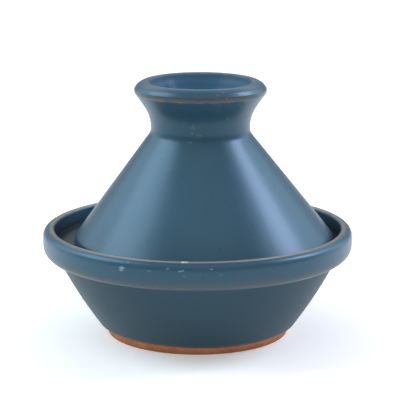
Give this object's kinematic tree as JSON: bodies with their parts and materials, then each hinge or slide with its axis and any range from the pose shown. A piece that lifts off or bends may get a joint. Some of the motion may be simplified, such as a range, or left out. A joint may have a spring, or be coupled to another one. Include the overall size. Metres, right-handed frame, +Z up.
{
  "type": "tagine pot",
  "caption": "Small glazed earthenware tagine: a round dish with a rolled rim and an inner seat, and a lift-off conical lid with a cup-shaped knob.",
  "frame": {"origin": "middle of the flat ring that the dish stands on", "axes": "+Z up along the dish's axis; +X towards the side that the lid is pushed to at rest"},
  "size_m": [0.16, 0.16, 0.132],
  "materials": {
    "blue_glaze": "glossy grey-blue glaze that breaks to tan where it thins over the rims and the knob's edges",
    "terracotta": "bare fired red-brown clay, matt, left unglazed on the foot and its recess"
  },
  "bodies": {
    "dish": {"base_dish": "blue_glaze"},
    "lid": {"conical_lid": "blue_glaze"}
  },
  "joints": [
    {"name": "lid_lift", "type": "slide", "parent": "dish", "child": "lid", "axis": [0, 0, 1], "range_m": [0, 0.12]}
  ]
}
